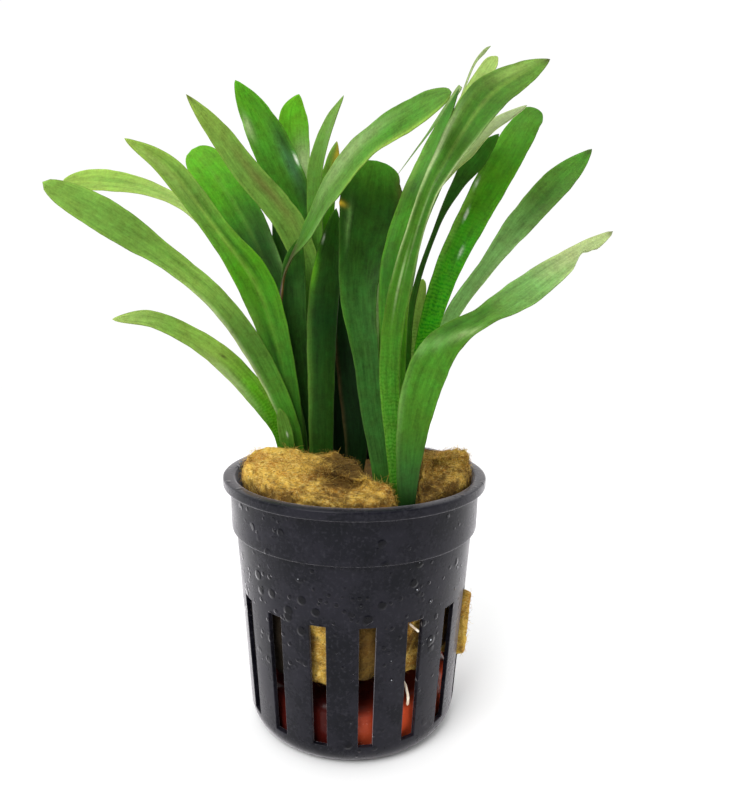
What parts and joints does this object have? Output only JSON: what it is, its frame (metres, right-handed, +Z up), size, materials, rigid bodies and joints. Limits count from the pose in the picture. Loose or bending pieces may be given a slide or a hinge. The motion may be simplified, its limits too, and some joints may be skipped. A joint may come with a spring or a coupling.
{
  "type": "potted dwarf sagittaria",
  "caption": "Rosettes of strap-shaped aquatic leaves rooted in rock wool inside a slotted plastic net pot, with a clay ring as a weight under the wool.",
  "frame": {"origin": "centre of the flat underside of the net pot", "axes": "+Z up along the pot's axis, -Y towards the side that the picture shows, +X to its right"},
  "size_m": [0.1183, 0.0545, 0.1396],
  "materials": {
    "black_plastic": "black satin injection-moulded plastic, wet",
    "wet_clay": "wet red-orange fired clay",
    "rock_wool": "damp golden brown mineral fibre",
    "white_root": "smooth whitish root",
    "leaf_bright": "bright green living leaf, satin",
    "leaf_middle": "green living leaf, satin",
    "leaf_dark": "dark green living leaf, satin",
    "leaf_pale": "pale grey-green living leaf, satin",
    "leaf_dry": "withered thin leaf, matte"
  },
  "bodies": {
    "root": {"net_pot": "black_plastic", "clay_ring": "wet_clay", "wool_plug": "rock_wool", "wool_chunk_left": "rock_wool", "wool_chunk_right": "rock_wool", "root_upper": "white_root", "root_lower": "white_root", "leaf_far_left": "leaf_bright", "leaf_left_drooping": "leaf_pale", "leaf_left_folded": "leaf_bright", "leaf_left_broad": "leaf_bright", "leaf_back_left_red": "leaf_middle", "leaf_back_left_tall": "leaf_dark", "leaf_back_bright": "leaf_bright", "leaf_back_narrow": "leaf_pale", "leaf_back_short": "leaf_bright", "leaf_front_arching": "leaf_bright", "leaf_centre_left": "leaf_dark", "leaf_centre_upright": "leaf_middle", "leaf_centre_spoon": "leaf_dark", "leaf_right_slender": "leaf_middle", "leaf_right_withered_folded": "leaf_dry", "leaf_right_withered_tip": "leaf_dry", "leaf_right_back_pale": "leaf_bright", "leaf_right_top": "leaf_bright", "leaf_right_edge_on": "leaf_pale", "leaf_right_dark": "leaf_dark", "leaf_right_bright": "leaf_bright", "leaf_right_grey": "leaf_middle", "leaf_front_right_twisted": "leaf_middle", "leaf_low_left": "leaf_bright", "leaf_back_left_hidden": "leaf_dark", "leaf_right_blunt": "leaf_pale", "leaf_centre_back": "leaf_dark", "leaf_centre_rear": "leaf_dark", "leaf_left_stub": "leaf_dark"}
  },
  "joints": []
}
